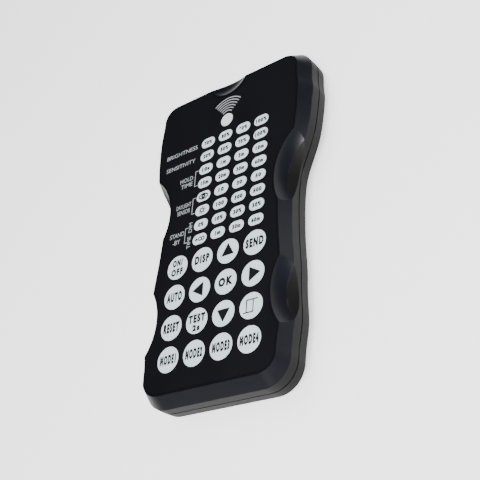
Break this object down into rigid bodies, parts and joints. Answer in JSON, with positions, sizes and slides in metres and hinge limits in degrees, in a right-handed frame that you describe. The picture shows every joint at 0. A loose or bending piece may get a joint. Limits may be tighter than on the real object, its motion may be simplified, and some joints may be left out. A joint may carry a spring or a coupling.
{
  "type": "handheld remote control",
  "caption": "Handheld infrared setting remote: waisted black case with finger scoops, rows of round and stadium-shaped press keys on a printed face, and a sliding battery door",
  "frame": {"origin": "centre of the bounding box in plan, on the flat back face", "axes": "+X to the right of the printed face, +Y from the foot to the signal end, +Z out of the printed face"},
  "size_m": [0.0698, 0.1244, 0.02],
  "materials": {
    "case_front": "satin black with a glossy bevel",
    "case_rear": "satin",
    "film": "printed film, satin",
    "key": "satin",
    "lens": "frosted",
    "window": "polished, dark tinted",
    "emitter": "clear",
    "board": "solder mask",
    "dome": "plain",
    "spring_steel": "nickel plated",
    "cell": "wrapped in film",
    "screw": "zinc plated"
  },
  "bodies": {
    "case": {"front_shell": "case_front", "rear_shell": "case_rear", "face_overlay": "film", "circuit_board": "board", "indicator_lens": "lens", "signal_window": "window", "signal_emitters": "emitter", "battery_contacts": "spring_steel", "batteries": "cell", "housing_screws": "screw", "snap_domes": "dome"},
    "battery_door_body": {"battery_door": "case_rear"},
    "brightness_key_1_body": {"brightness_key_1": "key"},
    "brightness_key_2_body": {"brightness_key_2": "key"},
    "brightness_key_3_body": {"brightness_key_3": "key"},
    "brightness_key_4_body": {"brightness_key_4": "key"},
    "sensitivity_key_1_body": {"sensitivity_key_1": "key"},
    "sensitivity_key_2_body": {"sensitivity_key_2": "key"},
    "sensitivity_key_3_body": {"sensitivity_key_3": "key"},
    "sensitivity_key_4_body": {"sensitivity_key_4": "key"},
    "hold_time_key_1_body": {"hold_time_key_1": "key"},
    "hold_time_key_2_body": {"hold_time_key_2": "key"},
    "hold_time_key_3_body": {"hold_time_key_3": "key"},
    "hold_time_key_4_body": {"hold_time_key_4": "key"},
    "hold_time_key_5_body": {"hold_time_key_5": "key"},
    "hold_time_key_6_body": {"hold_time_key_6": "key"},
    "hold_time_key_7_body": {"hold_time_key_7": "key"},
    "hold_time_key_8_body": {"hold_time_key_8": "key"},
    "daylight_key_1_body": {"daylight_key_1": "key"},
    "daylight_key_2_body": {"daylight_key_2": "key"},
    "daylight_key_3_body": {"daylight_key_3": "key"},
    "daylight_key_4_body": {"daylight_key_4": "key"},
    "daylight_key_5_body": {"daylight_key_5": "key"},
    "daylight_key_6_body": {"daylight_key_6": "key"},
    "daylight_key_7_body": {"daylight_key_7": "key"},
    "daylight_key_8_body": {"daylight_key_8": "key"},
    "standby_dim_key_1_body": {"standby_dim_key_1": "key"},
    "standby_dim_key_2_body": {"standby_dim_key_2": "key"},
    "standby_dim_key_3_body": {"standby_dim_key_3": "key"},
    "standby_dim_key_4_body": {"standby_dim_key_4": "key"},
    "standby_time_key_1_body": {"standby_time_key_1": "key"},
    "standby_time_key_2_body": {"standby_time_key_2": "key"},
    "standby_time_key_3_body": {"standby_time_key_3": "key"},
    "standby_time_key_4_body": {"standby_time_key_4": "key"},
    "power_key_body": {"power_key": "key"},
    "display_key_body": {"display_key": "key"},
    "up_key_body": {"up_key": "key"},
    "send_key_body": {"send_key": "key"},
    "auto_key_body": {"auto_key": "key"},
    "left_key_body": {"left_key": "key"},
    "ok_key_body": {"ok_key": "key"},
    "right_key_body": {"right_key": "key"},
    "reset_key_body": {"reset_key": "key"},
    "test_key_body": {"test_key": "key"},
    "down_key_body": {"down_key": "key"},
    "loop_key_body": {"loop_key": "key"},
    "mode_key_1_body": {"mode_key_1": "key"},
    "mode_key_2_body": {"mode_key_2": "key"},
    "mode_key_3_body": {"mode_key_3": "key"},
    "mode_key_4_body": {"mode_key_4": "key"}
  },
  "joints": [
    {"name": "brightness_key_1_press", "type": "slide", "parent": "case", "child": "brightness_key_1_body", "axis": [0, 0, -1], "range_m": [0, 0.0003], "stiffness_N_per_m": 300},
    {"name": "brightness_key_2_press", "type": "slide", "parent": "case", "child": "brightness_key_2_body", "axis": [0, 0, -1], "range_m": [0, 0.0003], "stiffness_N_per_m": 300},
    {"name": "brightness_key_3_press", "type": "slide", "parent": "case", "child": "brightness_key_3_body", "axis": [0, 0, -1], "range_m": [0, 0.0003], "stiffness_N_per_m": 300},
    {"name": "brightness_key_4_press", "type": "slide", "parent": "case", "child": "brightness_key_4_body", "axis": [0, 0, -1], "range_m": [0, 0.0003], "stiffness_N_per_m": 300},
    {"name": "sensitivity_key_1_press", "type": "slide", "parent": "case", "child": "sensitivity_key_1_body", "axis": [0, 0, -1], "range_m": [0, 0.0003], "stiffness_N_per_m": 300},
    {"name": "sensitivity_key_2_press", "type": "slide", "parent": "case", "child": "sensitivity_key_2_body", "axis": [0, 0, -1], "range_m": [0, 0.0003], "stiffness_N_per_m": 300},
    {"name": "sensitivity_key_3_press", "type": "slide", "parent": "case", "child": "sensitivity_key_3_body", "axis": [0, 0, -1], "range_m": [0, 0.0003], "stiffness_N_per_m": 300},
    {"name": "sensitivity_key_4_press", "type": "slide", "parent": "case", "child": "sensitivity_key_4_body", "axis": [0, 0, -1], "range_m": [0, 0.0003], "stiffness_N_per_m": 300},
    {"name": "hold_time_key_1_press", "type": "slide", "parent": "case", "child": "hold_time_key_1_body", "axis": [0, 0, -1], "range_m": [0, 0.0003], "stiffness_N_per_m": 300},
    {"name": "hold_time_key_2_press", "type": "slide", "parent": "case", "child": "hold_time_key_2_body", "axis": [0, 0, -1], "range_m": [0, 0.0003], "stiffness_N_per_m": 300},
    {"name": "hold_time_key_3_press", "type": "slide", "parent": "case", "child": "hold_time_key_3_body", "axis": [0, 0, -1], "range_m": [0, 0.0003], "stiffness_N_per_m": 300},
    {"name": "hold_time_key_4_press", "type": "slide", "parent": "case", "child": "hold_time_key_4_body", "axis": [0, 0, -1], "range_m": [0, 0.0003], "stiffness_N_per_m": 300},
    {"name": "hold_time_key_5_press", "type": "slide", "parent": "case", "child": "hold_time_key_5_body", "axis": [0, 0, -1], "range_m": [0, 0.0003], "stiffness_N_per_m": 300},
    {"name": "hold_time_key_6_press", "type": "slide", "parent": "case", "child": "hold_time_key_6_body", "axis": [0, 0, -1], "range_m": [0, 0.0003], "stiffness_N_per_m": 300},
    {"name": "hold_time_key_7_press", "type": "slide", "parent": "case", "child": "hold_time_key_7_body", "axis": [0, 0, -1], "range_m": [0, 0.0003], "stiffness_N_per_m": 300},
    {"name": "hold_time_key_8_press", "type": "slide", "parent": "case", "child": "hold_time_key_8_body", "axis": [0, 0, -1], "range_m": [0, 0.0003], "stiffness_N_per_m": 300},
    {"name": "daylight_key_1_press", "type": "slide", "parent": "case", "child": "daylight_key_1_body", "axis": [0, 0, -1], "range_m": [0, 0.0003], "stiffness_N_per_m": 300},
    {"name": "daylight_key_2_press", "type": "slide", "parent": "case", "child": "daylight_key_2_body", "axis": [0, 0, -1], "range_m": [0, 0.0003], "stiffness_N_per_m": 300},
    {"name": "daylight_key_3_press", "type": "slide", "parent": "case", "child": "daylight_key_3_body", "axis": [0, 0, -1], "range_m": [0, 0.0003], "stiffness_N_per_m": 300},
    {"name": "daylight_key_4_press", "type": "slide", "parent": "case", "child": "daylight_key_4_body", "axis": [0, 0, -1], "range_m": [0, 0.0003], "stiffness_N_per_m": 300},
    {"name": "daylight_key_5_press", "type": "slide", "parent": "case", "child": "daylight_key_5_body", "axis": [0, 0, -1], "range_m": [0, 0.0003], "stiffness_N_per_m": 300},
    {"name": "daylight_key_6_press", "type": "slide", "parent": "case", "child": "daylight_key_6_body", "axis": [0, 0, -1], "range_m": [0, 0.0003], "stiffness_N_per_m": 300},
    {"name": "daylight_key_7_press", "type": "slide", "parent": "case", "child": "daylight_key_7_body", "axis": [0, 0, -1], "range_m": [0, 0.0003], "stiffness_N_per_m": 300},
    {"name": "daylight_key_8_press", "type": "slide", "parent": "case", "child": "daylight_key_8_body", "axis": [0, 0, -1], "range_m": [0, 0.0003], "stiffness_N_per_m": 300},
    {"name": "standby_dim_key_1_press", "type": "slide", "parent": "case", "child": "standby_dim_key_1_body", "axis": [0, 0, -1], "range_m": [0, 0.0003], "stiffness_N_per_m": 300},
    {"name": "standby_dim_key_2_press", "type": "slide", "parent": "case", "child": "standby_dim_key_2_body", "axis": [0, 0, -1], "range_m": [0, 0.0003], "stiffness_N_per_m": 300},
    {"name": "standby_dim_key_3_press", "type": "slide", "parent": "case", "child": "standby_dim_key_3_body", "axis": [0, 0, -1], "range_m": [0, 0.0003], "stiffness_N_per_m": 300},
    {"name": "standby_dim_key_4_press", "type": "slide", "parent": "case", "child": "standby_dim_key_4_body", "axis": [0, 0, -1], "range_m": [0, 0.0003], "stiffness_N_per_m": 300},
    {"name": "standby_time_key_1_press", "type": "slide", "parent": "case", "child": "standby_time_key_1_body", "axis": [0, 0, -1], "range_m": [0, 0.0003], "stiffness_N_per_m": 300},
    {"name": "standby_time_key_2_press", "type": "slide", "parent": "case", "child": "standby_time_key_2_body", "axis": [0, 0, -1], "range_m": [0, 0.0003], "stiffness_N_per_m": 300},
    {"name": "standby_time_key_3_press", "type": "slide", "parent": "case", "child": "standby_time_key_3_body", "axis": [0, 0, -1], "range_m": [0, 0.0003], "stiffness_N_per_m": 300},
    {"name": "standby_time_key_4_press", "type": "slide", "parent": "case", "child": "standby_time_key_4_body", "axis": [0, 0, -1], "range_m": [0, 0.0003], "stiffness_N_per_m": 300},
    {"name": "power_key_press", "type": "slide", "parent": "case", "child": "power_key_body", "axis": [0, 0, -1], "range_m": [0, 0.0003], "stiffness_N_per_m": 300},
    {"name": "display_key_press", "type": "slide", "parent": "case", "child": "display_key_body", "axis": [0, 0, -1], "range_m": [0, 0.0003], "stiffness_N_per_m": 300},
    {"name": "up_key_press", "type": "slide", "parent": "case", "child": "up_key_body", "axis": [0, 0, -1], "range_m": [0, 0.0003], "stiffness_N_per_m": 300},
    {"name": "send_key_press", "type": "slide", "parent": "case", "child": "send_key_body", "axis": [0, 0, -1], "range_m": [0, 0.0003], "stiffness_N_per_m": 300},
    {"name": "auto_key_press", "type": "slide", "parent": "case", "child": "auto_key_body", "axis": [0, 0, -1], "range_m": [0, 0.0003], "stiffness_N_per_m": 300},
    {"name": "left_key_press", "type": "slide", "parent": "case", "child": "left_key_body", "axis": [0, 0, -1], "range_m": [0, 0.0003], "stiffness_N_per_m": 300},
    {"name": "ok_key_press", "type": "slide", "parent": "case", "child": "ok_key_body", "axis": [0, 0, -1], "range_m": [0, 0.0003], "stiffness_N_per_m": 300},
    {"name": "right_key_press", "type": "slide", "parent": "case", "child": "right_key_body", "axis": [0, 0, -1], "range_m": [0, 0.0003], "stiffness_N_per_m": 300},
    {"name": "reset_key_press", "type": "slide", "parent": "case", "child": "reset_key_body", "axis": [0, 0, -1], "range_m": [0, 0.0003], "stiffness_N_per_m": 300},
    {"name": "test_key_press", "type": "slide", "parent": "case", "child": "test_key_body", "axis": [0, 0, -1], "range_m": [0, 0.0003], "stiffness_N_per_m": 300},
    {"name": "down_key_press", "type": "slide", "parent": "case", "child": "down_key_body", "axis": [0, 0, -1], "range_m": [0, 0.0003], "stiffness_N_per_m": 300},
    {"name": "loop_key_press", "type": "slide", "parent": "case", "child": "loop_key_body", "axis": [0, 0, -1], "range_m": [0, 0.0003], "stiffness_N_per_m": 300},
    {"name": "mode_key_1_press", "type": "slide", "parent": "case", "child": "mode_key_1_body", "axis": [0, 0, -1], "range_m": [0, 0.0003], "stiffness_N_per_m": 300},
    {"name": "mode_key_2_press", "type": "slide", "parent": "case", "child": "mode_key_2_body", "axis": [0, 0, -1], "range_m": [0, 0.0003], "stiffness_N_per_m": 300},
    {"name": "mode_key_3_press", "type": "slide", "parent": "case", "child": "mode_key_3_body", "axis": [0, 0, -1], "range_m": [0, 0.0003], "stiffness_N_per_m": 300},
    {"name": "mode_key_4_press", "type": "slide", "parent": "case", "child": "mode_key_4_body", "axis": [0, 0, -1], "range_m": [0, 0.0003], "stiffness_N_per_m": 300},
    {"name": "battery_door_slide", "type": "slide", "parent": "case", "child": "battery_door_body", "axis": [0, -1, 0], "range_m": [0, 0.065]}
  ]
}
